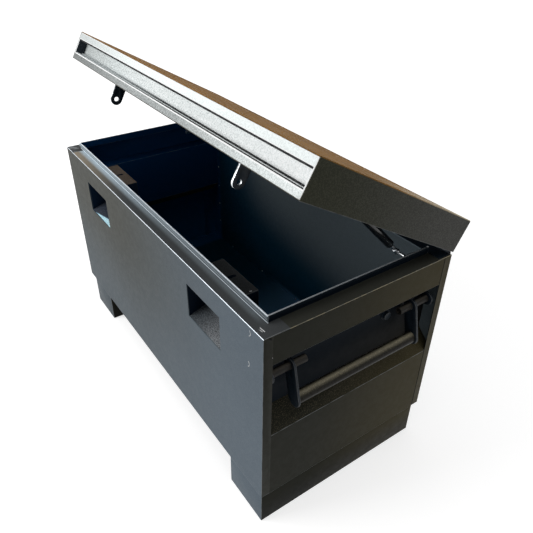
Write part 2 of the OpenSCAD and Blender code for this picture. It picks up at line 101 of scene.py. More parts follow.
class SheetSettings(bpy.types.PropertyGroup):
    """Radii with which the sheet, plate and bar edges are rounded."""

    bend: radius("Bend radius", "Outer radius of a folded edge", 2.4 * MM, 0.5 * MM, 6 * MM)
    hem: radius("Hem radius", "Radius along a hemmed or narrow edge", 1.2 * MM, 0.2 * MM, 3 * MM)
    plate: radius("Plate edge", "Radius along the edges of thick plates", 0.9 * MM, 0.2 * MM, 2 * MM)


class FinishSettings(bpy.types.PropertyGroup):
    """Colours of the finishes and of the light and shade painted on them, as linear values."""

    # painted light: the front painted lighter than the ends of the same black coat, with a painted reflection
    # bluer to the right and low down
    front_coat_lit: colour("Front coat", "Powder coat on the front of the box", (0.05, 0.052, 0.045))
    front_cool_reflection: colour(
        "Cool front coat", "Bluer tone of the coat to the right and low down", (0.106, 0.134, 0.161)
    )
    end_coat: colour("End coat", "Powder coat on the ends of the box", (0.013, 0.0135, 0.009))
    # painted reflection: the ends warmer towards the back
    end_warm_reflection: colour(
        "Warm end coat", "Warmer tone of the coat towards the back", (0.05, 0.042, 0.019)
    )
    ledge_tan: colour("Tan ledge", "Coat on the left of the front ledge", (0.27, 0.225, 0.165))
    ledge_grey: colour("Grey ledge", "Coat on the right of the front ledge", (0.054, 0.058, 0.06))
    # painted reflection on the upstand along the front
    rim_reflection: colour("Rubbed rim", "Upstand along the front, rubbed by the lid", (0.3, 0.36, 0.4))
    end_ledge: colour("End ledge", "Coat on the ledges and upstands at the ends", (0.036, 0.037, 0.031))
    # painted shade: the coat inside the tool space, darkened where no light falls
    inside_shade: colour(
        "Inside coat", "Coat inside the tool space, out of the light", (0.003, 0.03, 0.06)
    )
    lid_inside: colour("Lid inside", "Coat on the underside of the lid", (0.018, 0.028, 0.038))
    # painted light high on the back, where light falls in
    inside_lit: colour(
        "Pale inside coat", "Coat inside, high on the back where light falls in", (0.14, 0.175, 0.195)
    )
    dark_coat: colour("Dark coat", "Coat on arms, hasps and small brackets", (0.006, 0.01, 0.015))
    # painted light: the lid's ends lighter than the body's, with a painted warm reflection towards the back
    lid_end_warm_reflection: colour(
        "Lid end coat", "Coat towards the back of the lid's ends", (0.072, 0.072, 0.066)
    )
    recess_coat: colour("Recess coat", "Coat low in the handle recesses", (0.013, 0.0125, 0.0105))
    # painted highlight along the folds of the rim
    bright_edge: colour("Bright edge", "Folds of the rim where the coat shines", (0.86, 0.93, 1.0))
    # painted highlight along the folds
    fold_highlight: colour("Worn edge", "Coat rubbed thin along folds", (0.42, 0.44, 0.45))
    # painted silver reflection on the lid's front
    silver: colour("Hammered silver", "Coat on the lid's front", (0.74, 0.79, 0.785))
    silver_shade: colour(
        "Shaded silver", "Dark fold along the foot of the lid's front", (0.05, 0.045, 0.035)
    )
    # painted warm reflection on the lid's top
    lid_top_reflection: colour("Lid top", "Warm coat on the top of the lid", (0.25, 0.135, 0.045))
    zinc: colour("Zinc", "Bright plate on ball joints and brackets", (0.66, 0.68, 0.7))
    # steel: also the painted highlight on the crest of the tubes
    steel: colour("Steel", "Bare worn steel of tubes, pins and the hinge", (0.12, 0.108, 0.09))
    # painted light and shade on the grip: lighter on its crest, darker below
    grip: colour("Grip", "Hand-polished dark tube", (0.055, 0.05, 0.036))


class StageSettings(bpy.types.PropertyGroup):
    """Camera, floor and lamps."""

    lens: FloatProperty(
        name="Focal length", description="Lens for a 36 mm wide square frame",
        default=37.318, min=10, max=200, unit="CAMERA",
    )
    key: FloatProperty(
        name="Key lamp", description="Power of the large lamp in front on the left",
        default=128, min=0, unit="POWER",
    )
    top: FloatProperty(
        name="Top lamp", description="Power of the large lamp overhead",
        default=45, min=0, unit="POWER",
    )
    side: FloatProperty(
        name="Side lamp", description="Power of the soft lamp off the right end",
        default=8, min=0, unit="POWER",
    )
    ambient: FloatProperty(
        name="Ambient", description="Strength of the plain white surroundings",
        default=0.3, min=0, max=1,
    )
    floor: colour("Floor", "Colour of the floor", (0.6, 0.6, 0.6))


def settings():
    scene = bpy.context.scene
    return scene.site_box_sheet, scene.site_box_finish, scene.site_box_stage


# how materials are put together

# tones that only one mark or mask shows, as linear values
# painted shade deep in the handle recesses
RECESS_SHADE = (0.002, 0.005, 0.009)
# painted glints on the recess shelves
SHELF_SPARKLE = (0.11, 0.094, 0.062)
# painted highlight along the upper edges of the ends and the back
GOLD_HIGHLIGHT = (0.42, 0.37, 0.25)
SEAM_SHADOW = (0.001, 0.002, 0.003)
INSIDE_LOW = (0.004, 0.055, 0.1)
INSIDE_GROUND = (0.12, 0.27, 0.45)
FAR_WALL_HIGH = (0.003, 0.05, 0.16)
FAR_WALL_LOW = (0.003, 0.12, 0.3)
POCKET_EDGE = (0.3, 0.31, 0.32)
# painted highlight along the folds of the lid's front
SILVER_FOLD_HIGHLIGHT = (0.9, 0.91, 0.91)
GROOVE_END = (0.012, 0.018, 0.026)
# painted pale reflection towards the lid's back right corner
LID_CORNER = (0.6, 0.52, 0.38)
# painted glints on the grip's crest
GRIP_SPARKLE = (0.4, 0.36, 0.24)
ENAMEL = (0.004, 0.005, 0.006)
ENAMEL_DUST = (0.012, 0.013, 0.014)
# dark line tones: painted shadow in the lid's groove, and the notch at the front corner
LINE_BLACK = (0.012, 0.013, 0.014)
LINE_DUST = (0.6, 0.6, 0.6)
LINE_PALE = (0.4, 0.43, 0.44)
WELD_DULL = (0.34, 0.35, 0.36)
WELD_BRIGHT = (0.7, 0.71, 0.71)


class Recipe:
    """Builds one node material on Object coordinates."""

    def __init__(self, name):
        self.material = bpy.data.materials.new(name)
        self.material.use_nodes = True
        self.nodes = self.material.node_tree.nodes
        self.links = self.material.node_tree.links
        self.shader = self.nodes["Principled BSDF"]
        self.place = self.nodes.new("ShaderNodeTexCoord").outputs["Object"]

    def link(self, source, target):
        self.links.new(source, target)

    def noise(self, scale, detail=3.0, roughness=0.55, stretch=None):
        """A grey noise of the given scale, in cells per metre, stretched along the axes."""
        source = self.place
        if stretch:
            mapping = self.nodes.new("ShaderNodeMapping")
            mapping.inputs["Scale"].default_value = stretch
            self.link(self.place, mapping.inputs["Vector"])
            source = mapping.outputs["Vector"]
        node = self.nodes.new("ShaderNodeTexNoise")
        node.inputs["Scale"].default_value = scale
        node.inputs["Detail"].default_value = detail
        node.inputs["Roughness"].default_value = roughness
        self.link(source, node.inputs["Vector"])
        return node.outputs["Fac"]

    def axis(self, letter):
        """The object's own X, Y or Z, in metres."""
        node = self.nodes.new("ShaderNodeSeparateXYZ")
        self.link(self.place, node.inputs["Vector"])
        return node.outputs[letter]

    def ramp(self, value, low, high, to_low=0.0, to_high=1.0):
        """A value carried from one range to another, smoothly and clamped."""
        node = self.nodes.new("ShaderNodeMapRange")
        node.interpolation_type = "SMOOTHSTEP"
        node.inputs["From Min"].default_value = low
        node.inputs["From Max"].default_value = high
        node.inputs["To Min"].default_value = to_low
        node.inputs["To Max"].default_value = to_high
        self.link(value, node.inputs["Value"])
        return node.outputs["Result"]

    def grain(self, scale, low, high, to_low=0.0, to_high=1.0, **noise):
        """A noise of the given scale, spread by a ramp."""
        return self.ramp(self.noise(scale, **noise), low, high, to_low, to_high)

    def near(self, point, inner, outer):
        """One within a distance of a point and nothing beyond a larger one."""
        node = self.nodes.new("ShaderNodeVectorMath")
        node.operation = "DISTANCE"
        self.link(self.place, node.inputs[0])
        node.inputs[1].default_value = point
        return self.ramp(node.outputs["Value"], inner, outer, 1.0, 0.0)

    def attribute(self, name):
        node = self.nodes.new("ShaderNodeAttribute")
        node.attribute_name = name
        return node.outputs["Fac"]

    def maths(self, operation, first, second):
        node = self.nodes.new("ShaderNodeMath")
        node.operation = operation
        for socket, value in zip(node.inputs, (first, second)):
            if isinstance(value, (int, float)):
                socket.default_value = value
            else:
                self.link(value, socket)
        return node.outputs["Value"]

    def both(self, first, second):
        """The product of two masks."""
        return self.maths("MULTIPLY", first, second)

    def mix(self, factor, first, second):
        """A colour mixed from two colours, each a value or a socket."""
        node = self.nodes.new("ShaderNodeMix")
        node.data_type = "RGBA"
        self.link(factor, node.inputs["Factor"])
        for key, value in (("A", first), ("B", second)):
            socket = next(s for s in node.inputs if s.name == key and s.type == "RGBA")
            if isinstance(value, bpy.types.NodeSocket):
                self.link(value, socket)
            else:
                socket.default_value = (*value, 1)
        return next(s for s in node.outputs if s.type == "RGBA")

    def shade(self, tone, value, dark, light):
        """A colour made darker and lighter by a value, between two factors."""
        node = self.nodes.new("ShaderNodeMix")
        node.data_type = "RGBA"
        node.blend_type = "MULTIPLY"
        node.clamp_result = True
        node.inputs["Factor"].default_value = 1.0
        colours = [s for s in node.inputs if s.type == "RGBA"]
        self.link(tone, colours[0])
        self.link(self.ramp(value, 0.0, 1.0, dark, light), colours[1])
        return next(s for s in node.outputs if s.type == "RGBA")

    def bump(self, height, strength, distance):
        node = self.nodes.new("ShaderNodeBump")
        node.inputs["Strength"].default_value = strength
        node.inputs["Distance"].default_value = distance
        self.link(height, node.inputs["Height"])
        self.link(node.outputs["Normal"], self.shader.inputs["Normal"])

    def constants(self, **values):
        for key, value in values.items():
            self.shader.inputs[key.replace("_", " ")].default_value = value

    def finish(self, colour, scale, smooth, rough):
        """Gives the shader its colour and a roughness that wanders between two values."""
        self.link(colour, self.shader.inputs["Base Color"])
        self.link(self.grain(scale, 0.3, 0.7, smooth, rough), self.shader.inputs["Roughness"])
        return self.material


def scaled(colour, factor):
    return tuple(min(c * factor, 1.0) for c in colour)


def ledge_tone(recipe, finish, along, across):
    """Tan to grey along the front ledge, with a painted reflection as a sheen at its foot and a mottled left
    corner.
    """
    tone = recipe.mix(recipe.ramp(along, -0.6, -0.1), finish.ledge_tan, finish.ledge_grey)
    # painted reflection along the foot of the upstand
    sheen = recipe.both(
        recipe.ramp(across, FRONT_Y + 16 * MM, FRONT_Y + 31 * MM),
        recipe.ramp(along, 0.2, -0.5, 0.16, 0.9),
    )
    sheen = recipe.both(sheen, recipe.ramp(along, 0.58, 0.52))
    tone = recipe.mix(sheen, tone, scaled(finish.rim_reflection, 1.5))
    corner = recipe.mix(
        recipe.grain(45.0, 0.45, 0.55), scaled(finish.ledge_grey, 3.0), scaled(finish.ledge_grey, 0.5)
    )
    return recipe.mix(recipe.ramp(along, -0.546, -0.548), tone, corner)


def inside_tone(recipe, finish, along, up):
    """Navy inside, painted with light and shade: painted light high on the back, bluer on the floor with painted
    light there, and bluer on the far wall.
    """
    rise = recipe.maths("ADD", up, recipe.maths("MULTIPLY", along, 0.25))
    # painted light where light falls in, high on the back
    lit = recipe.both(recipe.ramp(rise, 0.2, 0.5), recipe.ramp(along, -0.46, -0.2))
    pale = recipe.mix(
        recipe.ramp(along, 0.1, 0.5), scaled(finish.inside_lit, 0.8), finish.inside_lit
    )
    low = recipe.ramp(up, 0.34, 0.12)
    tone = recipe.mix(lit, finish.inside_shade, pale)
    tone = recipe.mix(low, tone, INSIDE_LOW)
    # painted light on the floor
    ground = recipe.both(recipe.ramp(up, 0.13, 0.115), recipe.ramp(along, -0.2, 0.04))
    tone = recipe.mix(ground, tone, INSIDE_GROUND)
    far_wall = recipe.mix(low, FAR_WALL_HIGH, FAR_WALL_LOW)
    tone = recipe.mix(recipe.ramp(along, -0.53, -0.56), tone, far_wall)
    return recipe.mix(recipe.attribute("lid"), tone, finish.lid_inside)


def box_coat(name):
    """Fine-textured coat that changes with the face it lies on, by the marks of mark_faces, with painted light,
    shade, highlights and reflections.
    """
    finish = bpy.context.scene.site_box_finish
    recipe = Recipe(name)
    along, across, up = (recipe.axis(letter) for letter in "XYZ")
    mark = recipe.attribute
    rearward = recipe.ramp(across, FRONT_Y + 0.1, BACK_Y)

    # painted reflection: the front lighter than the ends of the same coat, bluer to the right and low down, and
    # the ends warmer towards the back
    front = recipe.mix(recipe.ramp(along, -0.25, 0.62), finish.front_coat_lit, finish.front_cool_reflection)
    front = recipe.mix(recipe.ramp(up, 0.55, 0.1, 0.0, 0.55), front, finish.front_cool_reflection)
    end = recipe.mix(rearward, finish.end_coat, finish.end_warm_reflection)
    # painted shade: the ends darker towards the floor
    end = recipe.shade(end, recipe.ramp(up, 0.0, 0.12), 0.3, 1.0)
    tone = recipe.mix(mark("side"), front, end)
    # painted light: the lid's ends lighter than the body's, with a painted warm reflection towards the back
    lid_end = recipe.mix(rearward, scaled(finish.end_coat, 2.7), finish.lid_end_warm_reflection)
    lid_end = recipe.shade(lid_end, recipe.grain(330.0, 0.4, 0.64, detail=2.0), 0.85, 1.35)
    tone = recipe.mix(mark("lid"), tone, lid_end)
    # painted shade: the recess near black high up and to the front, lighter low down and to the back
    low_rear = recipe.both(recipe.ramp(up, 0.55, 0.36), rearward)
    tone = recipe.mix(mark("recess"), tone, recipe.mix(low_rear, RECESS_SHADE, finish.recess_coat))
    tone = recipe.mix(mark("ledge"), tone, ledge_tone(recipe, finish, along, across))
    # painted reflection on the front upstand, dimmer to the right
    rim = recipe.mix(recipe.ramp(along, -0.4, 0.55), finish.rim_reflection, scaled(finish.rim_reflection, 0.42))
    tone = recipe.mix(mark("rim"), tone, rim)
    tone = recipe.mix(mark("end_rim"), tone, finish.end_ledge)
    # painted light and shade inside the tool space
    tone = recipe.mix(mark("inside"), tone, inside_tone(recipe, finish, along, up))

    tone = recipe.shade(tone, recipe.grain(2.2, 0.3, 0.7, detail=1.0), 0.96, 1.04)
    tone = recipe.shade(tone, recipe.grain(620.0, 0.36, 0.66, detail=2.0), 0.91, 1.1)
    # painted glints on the shelves
    sparkle = recipe.both(recipe.grain(520.0, 0.52, 0.7, detail=1.0), mark("sparkle"))
    tone = recipe.mix(sparkle, tone, SHELF_SPARKLE)
    # painted highlight along the folds, broken by noise
    wear_and_sheen = recipe.both(mark("bend"), recipe.grain(30.0, 0.3, 0.6, 0.06, 0.4))
    tone = recipe.mix(wear_and_sheen, tone, finish.fold_highlight)
    # painted highlight along the rim's folds, made partly metallic
    shine = recipe.both(mark("bright"), recipe.grain(12.0, 0.3, 0.6, 0.8, 1.0))
    tone = recipe.mix(shine, tone, finish.bright_edge)
    recipe.link(recipe.maths("MULTIPLY", shine, 0.5), recipe.shader.inputs["Metallic"])
    # painted highlight along the upper edges of the ends and the back
    gold_highlight = recipe.both(mark("gold_highlight"), recipe.grain(90.0, 0.35, 0.6, 0.4, 1.0))
    tone = recipe.mix(gold_highlight, tone, GOLD_HIGHLIGHT)
    seam = recipe.both(
        recipe.ramp(across, SEAM_Y - 3 * MM, SEAM_Y - 1 * MM),
        recipe.ramp(across, SEAM_Y + 1 * MM, SEAM_Y),
    )
    tone = recipe.mix(recipe.both(seam, mark("seam")), tone, SEAM_SHADOW)
    recipe.bump(recipe.noise(650.0, 2.0), 0.2, 0.4 * MM)
    recipe.constants(IOR=1.2, Specular_IOR_Level=0.3)
    return recipe.finish(tone, 60.0, 0.49, 0.57)


def pocket_coat(name, deep, top, sill_near, sill_far, span, lean=0.0):
    """Lock pocket painted dark as shade inside, paler on its top, with painted light on its sill beyond a slanting
    line.
    """
    recipe = Recipe(name)
    reach = recipe.maths("SUBTRACT", recipe.axis("X"), recipe.maths("MULTIPLY", recipe.axis("Y"), lean))
    sill = recipe.mix(recipe.ramp(reach, *span), sill_near, sill_far)
    sill = recipe.shade(sill, recipe.grain(420.0, 0.38, 0.64, roughness=0.7), 0.55, 1.6)
    # painted shade inside the pocket, painted light on the sill
    tone = recipe.mix(recipe.attribute("sill"), deep, sill)
    crown = recipe.shade(
        recipe.mix(recipe.attribute("bend"), top, scaled(top, 1.7)),
        recipe.grain(380.0, 0.38, 0.64, detail=2.0), 0.8, 1.25,
    )
    tone = recipe.mix(recipe.attribute("crown"), tone, crown)
    tone = recipe.mix(recipe.maths("MULTIPLY", recipe.attribute("bend"), 0.12), tone, POCKET_EDGE)
    recipe.bump(recipe.noise(600.0, 2.0), 0.25, 0.4 * MM)
    recipe.constants(IOR=1.2, Specular_IOR_Level=0.3)
    return recipe.finish(tone, 60.0, 0.45, 0.6)


def dark_plate(name, edge=0.25, metal=False):
    """Dark coat on arms, hasps and brackets, with a painted highlight along its edges, made metallic there if
    asked.
    """
    finish = bpy.context.scene.site_box_finish
    recipe = Recipe(name)
    tone = recipe.mix(recipe.grain(260.0, 0.4, 0.7), finish.dark_coat, scaled(finish.dark_coat, 1.9))
    # painted highlight along the edges
    wear_and_sheen = recipe.both(recipe.attribute("bend"), recipe.grain(45.0, 0.3, 0.6, 0.3, 1.0))
    tone = recipe.mix(wear_and_sheen, tone, scaled(finish.fold_highlight, edge))
    recipe.bump(recipe.noise(500.0, 2.0), 0.2, 0.3 * MM)
    recipe.constants(IOR=1.3, Specular_IOR_Level=0.4)
    if metal:
        recipe.link(wear_and_sheen, recipe.shader.inputs["Metallic"])
    return recipe.finish(tone, 70.0, 0.34, 0.48)


def hammered_silver_reflection(name):
    """Hammered coat of the lid's front painted with a bright speckled silver reflection, greyer to the left and
    with painted shade low down.
    """
    finish = bpy.context.scene.site_box_finish
    recipe = Recipe(name)
    mark = recipe.attribute
    along = recipe.axis("X")
    left, right = recipe.ramp(along, -0.62, -0.05), recipe.ramp(along, 0.05, 0.6)

    def three(first, second, third):
        """The painted silver reflection scaled by three factors, from left to right."""
        tones = [scaled(finish.silver, factor) for factor in (first, second, third)]
        return recipe.mix(right, recipe.mix(left, tones[0], tones[1]), tones[2])

    # painted reflection, dimmer to the left
    tone = three(0.74, 1.18, 1.1)
    tone = recipe.mix(mark("groove"), tone, three(0.72, 1.18, 1.3))
    # painted shade on the band below the groove, strongest to the left
    tone = recipe.mix(mark("band"), tone, three(0.235, 0.46, 1.0))
    tone = recipe.shade(tone, recipe.grain(230.0, 0.38, 0.6, roughness=0.7), 0.9, 1.03)
    speckle = recipe.grain(300.0, 0.36, 0.62, detail=4.0, roughness=0.75)
    coarse = recipe.maths("MAXIMUM", mark("band"), recipe.maths("MULTIPLY", mark("groove"), 0.7))
    coarse = recipe.both(coarse, recipe.ramp(along, 0.0, 0.6, 1.0, 0.4))
    tone = recipe.mix(coarse, tone, recipe.shade(tone, speckle, 0.62, 1.3))
    # painted highlight along the folds
    tone = recipe.mix(mark("bend"), tone, SILVER_FOLD_HIGHLIGHT)
    tone = recipe.mix(mark("hem"), tone, finish.silver_shade)
    closed = recipe.both(mark("end_plate"), recipe.ramp(along, -0.55, -0.6))
    tone = recipe.mix(closed, tone, GROOVE_END)
    recipe.bump(recipe.noise(230.0), 0.2, 0.6 * MM)
    recipe.constants(IOR=1.3, Specular_IOR_Level=0.4, Metallic=0.0)
    return recipe.finish(tone, 90.0, 0.3, 0.5)


def lid_top_coat(name):
    """Lid's top painted with a warm reflection, paler towards the back right corner, with one darker patch."""
    finish = bpy.context.scene.site_box_finish
    recipe = Recipe(name)
    # painted pale reflection towards the back right corner
    pale = recipe.both(
        recipe.ramp(recipe.axis("Y"), MIDDLE_Y, BACK_Y + 0.03), recipe.ramp(recipe.axis("X"), 0.4, 0.6)
    )
    tone = recipe.mix(pale, finish.lid_top_reflection, LID_CORNER)
    dark_patch = recipe.near((-0.24, BACK_Y - 0.03, 0.73), 0.03, 0.12)
    tone = recipe.mix(dark_patch, tone, scaled(finish.lid_top_reflection, 0.5))
    tone = recipe.shade(tone, recipe.grain(7.0, 0.35, 0.65), 0.86, 1.06)
    tone = recipe.shade(tone, recipe.grain(300.0, 0.38, 0.66, detail=2.0), 0.82, 1.18)
    tone = recipe.mix(recipe.attribute("bend"), tone, scaled(finish.lid_top_reflection, 0.5))
    tone = recipe.mix(recipe.attribute("inside"), tone, finish.lid_inside)
    recipe.bump(recipe.noise(600.0, 2.0), 0.2, 0.3 * MM)
    recipe.constants(IOR=1.1, Specular_IOR_Level=0.1)
    return recipe.finish(tone, 50.0, 0.5, 0.62)


def zinc_plate(name):
    """Bright zinc with a faint drawn grain."""
    finish = bpy.context.scene.site_box_finish
    recipe = Recipe(name)
    streaks = recipe.grain(120.0, 0.35, 0.7, stretch=(0.2, 1, 1))
    tone = recipe.mix(streaks, finish.zinc, scaled(finish.zinc, 0.8))
    recipe.bump(recipe.noise(300.0), 0.08, 0.2 * MM)
    recipe.constants(Metallic=1.0)
    return recipe.finish(tone, 90.0, 0.22, 0.36)


def steel_wear_and_highlight(name):
    """Painted tube and hinge steel with random wear, and a painted highlight on the crest of a tube."""
    finish = bpy.context.scene.site_box_finish
    recipe = Recipe(name)
    wear_and_sheen = recipe.grain(40.0, 0.35, 0.7, detail=4.0, roughness=0.65)
    tone = recipe.mix(wear_and_sheen, scaled(finish.steel, 0.1), scaled(finish.steel, 0.22))
    # painted highlight on the crest
    tone = recipe.mix(recipe.attribute("crest"), tone, finish.steel)
    recipe.bump(recipe.noise(350.0), 0.12, 0.3 * MM)
    recipe.constants(IOR=1.25, Specular_IOR_Level=0.4)
    return recipe.finish(tone, 80.0, 0.3, 0.5)


def grip_with_highlight(name):
    """Dark grip tube, drawn along its length, with a painted highlight on its crest and painted shade below."""
    finish = bpy.context.scene.site_box_finish
    recipe = Recipe(name)
    crest = recipe.attribute("crest")
    drawn = recipe.grain(260.0, 0.35, 0.7, stretch=(1, 0.2, 1))
    # painted highlight on the crest, painted shade below
    tone = recipe.mix(crest, scaled(finish.grip, 0.2), scaled(finish.grip, 4.2))
    tone = recipe.shade(tone, drawn, 0.9, 1.1)
    # painted glints on the crest
    sparkle = recipe.both(recipe.grain(420.0, 0.55, 0.7, detail=1.0), crest)
    tone = recipe.mix(sparkle, tone, GRIP_SPARKLE)
    recipe.bump(drawn, 0.03, 0.2 * MM)
    recipe.constants(IOR=1.2, Specular_IOR_Level=0.4)
    return recipe.finish(tone, 60.0, 0.26, 0.3)


def strut_enamel(name):
    """Gloss black of the strut cylinders."""
    recipe = Recipe(name)
    tone = recipe.mix(recipe.grain(90.0, 0.4, 0.75, detail=4.0), ENAMEL, ENAMEL_DUST)
    recipe.bump(recipe.noise(200.0), 0.02, 0.1 * MM)
    recipe.constants(IOR=1.4, Specular_IOR_Level=0.5)
    return recipe.finish(tone, 70.0, 0.14, 0.18)


def dark_line(name, left=LINE_BLACK):
    """Dark line: painted shadow under the lid's top band and along the groove's floor, and the notch at the front
    corner; black, or paler towards the left.
    """
    recipe = Recipe(name)
    tone = recipe.mix(recipe.ramp(recipe.axis("X"), -0.45, 0.1), left, LINE_BLACK)
    tone = recipe.mix(recipe.grain(90.0, 0.35, 0.65, 0.0, 0.06), tone, LINE_DUST)
    recipe.constants(IOR=1.2, Specular_IOR_Level=0.2)
    return recipe.finish(tone, 60.0, 0.5, 0.7)


def weld_metal(name):
    """Dots and beads of weld that show bright through the coat."""
    recipe = Recipe(name)
    tone = recipe.mix(recipe.grain(500.0, 0.35, 0.7), WELD_DULL, WELD_BRIGHT)
    recipe.bump(recipe.noise(600.0), 0.3, 0.2 * MM)
    recipe.constants(Metallic=0.3)
    return recipe.finish(tone, 90.0, 0.35, 0.55)


MAKERS = {
    "box coat": box_coat,
    "left pocket coat": partial(
        pocket_coat, deep=(0.006, 0.018, 0.04), top=(0.13, 0.098, 0.072),
        sill_near=(0.024, 0.03, 0.042), sill_far=(0.48, 0.8, 1.0), span=(1.285, 1.31), lean=5.5,
    ),
    "right pocket coat": partial(
        pocket_coat, deep=(0.001, 0.005, 0.012), top=(0.024, 0.026, 0.027),
        sill_near=(0.05, 0.058, 0.065), sill_far=(0.2, 0.212, 0.225), span=(0.272, 0.428),
    ),
    "dark plate": dark_plate,
    # hasps: a strong painted highlight along the edges, made metallic
    "hasp plate": partial(dark_plate, edge=2.2, metal=True),
    "hammered silver": hammered_silver_reflection,
    "lid top coat": lid_top_coat,
    "zinc": zinc_plate,
    "worn steel": steel_wear_and_highlight,
    "polished grip": grip_with_highlight,
    "strut enamel": strut_enamel,
    "fold seal": dark_line,
    "groove seam": partial(dark_line, left=LINE_PALE),
    "weld metal": weld_metal,
}
MATERIALS = {}


def material(name):
    """Each finish is made once and shared."""
    if name not in MATERIALS:
        MATERIALS[name] = MAKERS[name](name)
    return MATERIALS[name]


# how meshes are finished


# the recesses in the ends
RECESS_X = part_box("recess_bolt")[0][0]
RECESS_FOOT_Z = 0.32
RECESS_ROOF_Z = LEDGE_Z - 0.083

# the line where the back panel's end folds meet the end panels
SEAM_Y = min(
    vertex.co.y for vertex in frame["nodes"]["back_panel"].data.vertices
    if abs(vertex.co.x) > HALF_LENGTH - 1 * MM and vertex.co.z < LEDGE_Z - 3 * SHEET
)

# the upstand round the opening: its place, and heights above the ledge where its coat changes
RIM_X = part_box("right_end_ledge")[0][0] + SHEET / 2
RIM_Y = FRONT_Y + 38 * MM
FOOT_RISE = 2.4 * MM
HEM_RISE = 12.2 * MM
LIP_RISE = 15 * MM

# the lid as it lies shut: distances in front of the hinge axis and heights above it
TO_LID = LID_PLACE.inverted()
LID_POINTS = [TO_LID @ vertex.co for vertex in frame["nodes"]["lid_top"].data.vertices]
LID_FRONT_U = -min(point.y for point in LID_POINTS)
LID_TOP_V = max(point.z for point in LID_POINTS)
BAND_TOP_V = 26 * MM
LIP_DEPTH = 24 * MM


def in_tool_space(point):
    """Whether a point lies in the space that the body's sheets enclose."""
    x, y, z = abs(point.x), point.y, point.z
    if z > LEDGE_Z - SHEET / 2:
        return x < RIM_X and RIM_Y < y < BACK_Y - 40 * MM
    if not (x < HALF_LENGTH - SHEET / 2 and FRONT_Y < y < BACK_Y and SHELL_FOOT_Z < z):
        return False
    return x < RECESS_X - SHEET / 2 or z > RECESS_ROOF_Z or z < RECESS_FOOT_Z


def in_lid(point):
    """Whether a point lies in the hollow of the lid."""
    spot = TO_LID @ point
    return (
        abs(spot.x) < HALF_LENGTH - SHEET / 2
        and -5 * MM < -spot.y < LID_FRONT_U - 29 * MM
        and spot.z < LID_TOP_V - SHEET / 2
    )


def cut_across(mesh, point, normal):
    """Cuts the faces of a mesh along a plane, so that each side can be marked by itself."""
    bmesh.ops.bisect_plane(
        mesh, geom=[*mesh.verts, *mesh.edges, *mesh.faces], dist=0.001 * MM,
        plane_co=point, plane_no=normal,
    )


def gold_highlight_share(face, node, bent, near_ledge):
    """How much a face shows of the painted highlight along the upper edges of the ends and the back."""
    middle, sideways = face.calc_center_median(), abs(face.normal.x)
    from_end = HALF_LENGTH - abs(middle.x)
    if bent and near_ledge and node != "front_panel" and sideways > 0.2 and from_end < 8 * MM:
        return 1.0
    if node.endswith("end_ledge") and sideways > 0.7 and from_end < 1 * MM:
        return 1.0
    rear = node == "back_panel" and middle.y > BACK_Y - 4 * MM
    return 0.7 if rear and bent and from_end < 4 * MM else 0.0


def mark_faces(mesh, node):
    """Marks each face by the part of the box that it belongs to, for the coat."""
    names = (
        "inside", "side", "lid", "recess", "sparkle", "ledge", "rim", "end_rim", "bright", "gold_highlight",
        "seam",
    )
    mark = {name: mesh.faces.layers.float.new(name) for name in names}
    bend = mesh.faces.layers.float["bend"]
    on_lid = BODY_OF[node] == "lid"
    front = node == "front_panel"
    hidden = in_lid if on_lid else in_tool_space
    for face in mesh.faces:
        middle, normal = face.calc_center_median(), face.normal
        rise = middle.z - LEDGE_Z
        near_ledge = abs(rise) < 4 * MM and not on_lid
        # painted highlight on the fold at the front of the ledge
        if front and face[bend] and near_ledge and normal.y < -0.2:
            face[mark["bright"]] = 1.0
            continue
        # painted highlight along the upper edges of the ends and the back
        gold_highlight = gold_highlight_share(face, node, face[bend], near_ledge)
        if gold_highlight:
            face[mark["gold_highlight"]] = gold_highlight
            continue
        on_ledge = not on_lid and normal.z > 0.7 and abs(rise) < 0.5 * MM
        if not on_ledge and hidden(middle + normal * 0.5 * MM):
            face[mark["inside"]] = 1.0
            face[mark["lid"]] = 1.0 if on_lid else 0.0
        elif on_lid:
            face[mark["lid"]] = 1.0
        elif front and on_ledge:
            face[mark["ledge"]] = 1.0
        elif front and rise > 0.2 * MM:
            face[mark["rim"]] = 1.0
            # painted highlights on the upstand's foot, lip and hem
            if rise < FOOT_RISE + 0.2 * MM or (normal.z > 0.7 and rise > LIP_RISE):
                face[mark["bright"]] = 1.0
            elif HEM_RISE - 2.4 * MM < rise < HEM_RISE + 0.2 * MM and abs(normal.z) < 0.7:
                face[mark["bright"]] = 0.35
        elif on_ledge or rise > 0.2 * MM:
            # upright faces of the end upstands take the recess's painted shade
            face[mark["recess" if abs(normal.x) > 0.7 else "end_rim"]] = 1.0
            # painted highlight on the lips of the end upstands
            face[mark["bright"]] = 0.3 if normal.z > 0.7 and rise > LIP_RISE else 0.0
        elif node.endswith("end_panel"):
            recessed = abs(middle.x) < HALF_LENGTH - 1 * MM
            shelf = recessed and abs(normal.z) > 0.3 and middle.z < LEDGE_Z - 0.15
            face[mark["side"]] = 1.0
            face[mark["seam"]] = 0.0 if recessed else 1.0
            # the recess walls take the recess's painted shade, the shelves painted glints
            face[mark["recess"]] = 1.0 if recessed and not shelf else 0.0
            face[mark["sparkle"]] = 0.7 if shelf else 0.0
        else:
            face[mark["side"]] = 1.0 if abs(normal.x) > 0.7 else 0.0
            face[mark["seam"]] = 1.0 if node == "back_panel" else 0.0


def face_width(face, edge):
    """How wide a face is across one of its edges."""
    return face.calc_area() / max(edge.calc_length(), 1e-6)


